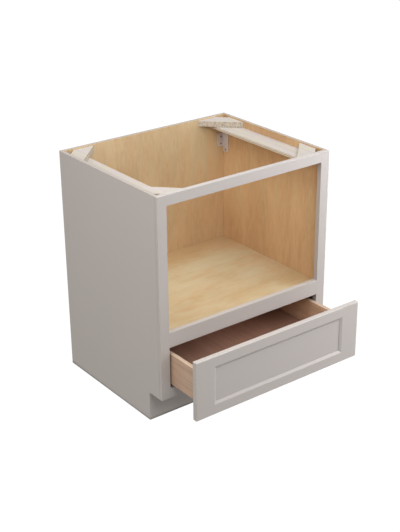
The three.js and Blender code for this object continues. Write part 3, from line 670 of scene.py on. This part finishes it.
def zinc_plate(name, grain, tint):
    """Satin zinc plating: a fine rolling grain, soft mottling and a few dull spots."""
    finish = Finish(name)
    mottle = finish.clouds(finish.place(70, 70, 70), detail=4, roughness=0.65)
    rolled = finish.clouds(finish.along(grain, 20, 1500), detail=2)
    dull = finish.clouds(finish.place(260, 260, 260), detail=2).between(0.6, 0.72)
    shade = mottle * 0.6 + rolled * 0.4
    return finish.surface(
        shade.blend(shade_of(tint, 0.84), shade_of(tint, 1.12)),
        0.38 + mottle * 0.2 + dull * 0.12,
        height=rolled,
        depth=0.00002,
        Metallic=0.35,
    )


def moulded_nylon():
    finish = Finish("moulded_nylon")
    grain = finish.clouds(finish.place(1600, 1600, 1600), detail=2)
    flow = finish.clouds(finish.place(45, 45, 45), detail=2)
    tone = flow.blend(shade_of(NYLON, 0.92), shade_of(NYLON, 1.1))
    return finish.surface(tone, 0.52 + grain * 0.14, height=grain, depth=0.00006)


slide_zinc = zinc_plate("slide_zinc", "y", ZINC)
bracket_zinc = zinc_plate("bracket_zinc", "z", BRACKET_ZINC)
nylon = moulded_nylon()
for hand in ("left", "right"):
    for member in ("cabinet", "middle", "drawer"):
        board(f"{hand}_slide_{member}_member", slide_zinc, SLIDE_ARRIS)
    board("corner_bracket_" + hand, bracket_zinc, BRACKET_ARRIS)
    for moulding in ("_slide_rear_bracket", "_locking_clip"):
        board(hand + moulding, nylon, NYLON_ARRIS)

# ---------------------------------------------------------------- screws
# Pan-head screws with a cross recess, zinc-plated: three in each corner bracket, one in each slide and
# rear bracket, and four that draw the drawer front against its box.

ROUND_SIDES = 40
DOME_STEPS = 6
SCREW_TINT = (0.27, 0.25, 0.24)
RECESS_REACH, RECESS_HALF_WIDTH, RECESS_DEPTH = 0.52, 0.11, 0.5  # in head radii
RECESS_TAPER = 0.45
AT_RIM = 0.98  # points beyond this share of the head's radius lie on its rim
screw_zinc = zinc_plate("screw_zinc", "z", SCREW_TINT)


def turned(name, profile, centre, axis, weld):
    """A round form: a line of points spun about an axis, with its ends on that axis."""
    shape = bmesh.new()
    line = [shape.verts.new(point) for point in profile]
    edges = [shape.edges.new(pair) for pair in zip(line, line[1:])]
    bmesh.ops.spin(
        shape, geom=line + edges, cent=centre, axis=axis, angle=2 * math.pi, steps=ROUND_SIDES
    )
    bmesh.ops.remove_doubles(shape, verts=shape.verts, dist=weld)
    bmesh.ops.recalc_face_normals(shape, faces=shape.faces)
    return mesh_from(name, shape)


def blend_facets(mesh, degrees):
    """Facets that meet at less than this angle shade as one curve."""
    for face in mesh.polygons:
        face.use_smooth = True
    mesh.set_sharp_from_angle(angle=math.radians(degrees))


def apply_modifiers(piece):
    worked = piece.evaluated_get(bpy.context.evaluated_depsgraph_get())
    made = bpy.data.meshes.new_from_object(worked)
    piece.modifiers.clear()
    piece.data = made


def screw_pattern():
    """A screw of unit head radius, its head up along +Z and its seat at z 0."""
    height, rim, crown, shank, length, tip, taper = 0.58, 0.26, 0.62, 0.46, 2.4, 0.2, 1.0
    turns = [step / DOME_STEPS * math.pi / 2 for step in range(1, DOME_STEPS + 1)]
    dome = [
        (crown + (1 - crown) * math.cos(turn), rim + (height - rim) * math.sin(turn)) for turn in turns
    ]
    profile = [
        (0, -length), (tip, -length + taper / 2), (shank, -length + taper), (shank, 0), (1, 0), (1, rim),
        *dome, (0, height),
    ]
    points = [(radius, 0, z) for radius, z in profile]
    mesh = turned("screw_pattern", points, centre=(0, 0, 0), axis=(0, 0, 1), weld=1e-5)
    screw = put_in_scene("screw_pattern", mesh)
    slot_size = Matrix.Diagonal((RECESS_REACH, RECESS_HALF_WIDTH, RECESS_DEPTH, 1))
    for turn in (0, math.pi / 2):
        cutter_shape = bmesh.new()
        bmesh.ops.create_cube(cutter_shape, size=2, matrix=Matrix.Rotation(turn, 4, "Z") @ slot_size)
        for vert in cutter_shape.verts:
            vert.co.z += height
            if vert.co.z < height:
                vert.co.xy *= RECESS_TAPER
        cutter = put_in_scene("recess", mesh_from("recess", cutter_shape))
        cut = screw.modifiers.new("recess", "BOOLEAN")
        cut.object, cut.operation, cut.solver = cutter, "DIFFERENCE", "EXACT"
        apply_modifiers(screw)
        bpy.data.objects.remove(cutter)
    blend_facets(screw.data, degrees=38)
    return screw


def screw_tree():
    """Sets one screw on each point, its head along the point's own direction, turned at random."""
    tree = bpy.data.node_groups.new("driven_screws", "GeometryNodeTree")
    given_kinds = {"Geometry": "Geometry", "Screw": "Object", "Plating": "Material", "Seed": "Int"}
    for name, kind in given_kinds.items():
        tree.interface.new_socket(name, in_out="INPUT", socket_type="NodeSocket" + kind)
    tree.interface.new_socket("Geometry", in_out="OUTPUT", socket_type="NodeSocketGeometry")

    def add(kind, **settings):
        made = tree.nodes.new(kind)
        for key, value in settings.items():
            setattr(made, key, value)
        return made

    given, result = add("NodeGroupInput"), add("NodeGroupOutput")
    pattern = add("GeometryNodeObjectInfo")
    facing = add("GeometryNodeInputNamedAttribute", data_type="FLOAT_VECTOR")
    facing.inputs["Name"].default_value = "facing"
    radius = add("GeometryNodeInputNamedAttribute", data_type="FLOAT")
    radius.inputs["Name"].default_value = "head_radius"
    aim = add("FunctionNodeAlignRotationToVector", axis="Z")
    chance = add("FunctionNodeRandomValue", data_type="FLOAT")
    chance.inputs["Max"].default_value = math.pi
    spin = add("FunctionNodeRotateRotation", rotation_space="LOCAL")
    turn = add("FunctionNodeAxisAngleToRotation")
    turn.inputs["Axis"].default_value = (0, 0, 1)
    place = add("GeometryNodeInstanceOnPoints")
    real = add("GeometryNodeRealizeInstances")
    plated = add("GeometryNodeSetMaterial")
    for source, leaving, target, entering in (
        (given, "Screw", pattern, "Object"),
        (given, "Seed", chance, "Seed"),
        (facing, "Attribute", aim, "Vector"),
        (chance, "Value", turn, "Angle"),
        (aim, "Rotation", spin, "Rotation"),
        (turn, "Rotation", spin, "Rotate By"),
        (given, "Geometry", place, "Points"),
        (pattern, "Geometry", place, "Instance"),
        (spin, "Rotation", place, "Rotation"),
        (radius, "Attribute", place, "Scale"),
        (place, "Instances", real, "Geometry"),
        (real, "Geometry", plated, "Geometry"),
        (given, "Plating", plated, "Material"),
        (plated, "Geometry", result, "Geometry"),
    ):
        tree.links.new(source.outputs[leaving], target.inputs[entering])
    return tree


def seat_of(name):
    """A screw's seat, the way its head faces and the head's radius, read from its node."""
    low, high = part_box(name)
    size, middle = high - low, (low + high) / 2
    long_axis = max(range(3), key=lambda axis: size[axis])
    across = [axis for axis in range(3) if axis != long_axis]
    radius = min(size[axis] for axis in across) / 2
    points = [vert.co for vert in nodes[name].data.vertices]
    levels = [
        point[long_axis] for point in points
        if max(abs(point[axis] - middle[axis]) for axis in across) > AT_RIM * radius
    ]
    head_up = sum(levels) / len(levels) > middle[long_axis]
    facing = Vector([float(axis == long_axis) for axis in range(3)]) * (1 if head_up else -1)
    seat = Vector(middle)
    seat[long_axis] = min(levels) if head_up else max(levels)
    return seat, facing, radius


pattern = screw_pattern()
driven = screw_tree()
for body, seed in (("cabinet", 3), ("drawer", 5)):
    screws = [name for name in frame["record"]["behaviour"]["bodies"][body] if "screw" in name]
    seats = [seat_of(name) for name in screws]
    points = bpy.data.meshes.new(body + "_screws")
    points.from_pydata([seat for seat, facing, radius in seats], [], [])
    points.attributes.new("facing", "FLOAT_VECTOR", "POINT")
    points.attributes.new("head_radius", "FLOAT", "POINT")
    for index, (seat, facing, radius) in enumerate(seats):
        points.attributes["facing"].data[index].vector = facing
        points.attributes["head_radius"].data[index].value = radius
    driven_set = put_in_scene(body + "_screws", points)
    work = driven_set.modifiers.new("driven", "NODES")
    work.node_group = driven
    given = {"Screw": pattern, "Plating": screw_zinc, "Seed": seed}
    for item in driven.interface.items_tree:
        if item.in_out == "INPUT" and item.name in given:
            work[item.identifier] = given[item.name]
    apply_modifiers(driven_set)
    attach(driven_set, body)
    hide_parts(*screws)
bpy.data.objects.remove(pattern)

# ---------------------------------------------------------------- bumpers
# Soft clear dots stuck to the back of the drawer front, one near each corner, where it meets the frame.

BUMPER_STEPS = 8
BUMPER_RIM = 0.35  # its upright rim, as a share of its height
BUMPER_FULLNESS = 0.6  # a lower power makes a fuller dome
HAZE_DARK, HAZE_LIGHT = (0.72, 0.70, 0.66), (0.80, 0.79, 0.76)
clear_vinyl = Finish("clear_vinyl")
haze = clear_vinyl.clouds(clear_vinyl.place(400, 400, 400), detail=2)
vinyl = clear_vinyl.surface(
    haze.blend(HAZE_DARK, HAZE_LIGHT), 0.22 + haze * 0.1, height=haze, depth=0.00005, Coat_Weight=0.4,
)
for end in ("top", "bottom"):
    for hand in ("left", "right"):
        name = f"bumper_{end}_{hand}"
        low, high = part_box(name)
        middle, radius, height = (low + high) / 2, (high.x - low.x) / 2, high.y - low.y
        rim = BUMPER_RIM * height
        turns = [step / BUMPER_STEPS * math.pi / 2 for step in range(BUMPER_STEPS)]
        crown = [
            (radius * math.cos(turn) ** BUMPER_FULLNESS, rim + (height - rim) * math.sin(turn))
            for turn in turns
        ]
        profile = [(0, 0), (radius, 0), *crown, (0, height)]
        points = [(middle.x + out, low.y + up, middle.z) for out, up in profile]
        mesh = turned(name, points, centre=middle, axis=(0, 1, 0), weld=1e-7)
        mesh.materials.append(vinyl)
        blend_facets(mesh, degrees=40)
        dot = put_in_scene(name + "_dome", mesh)
        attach(dot, "drawer")
        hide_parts(name)
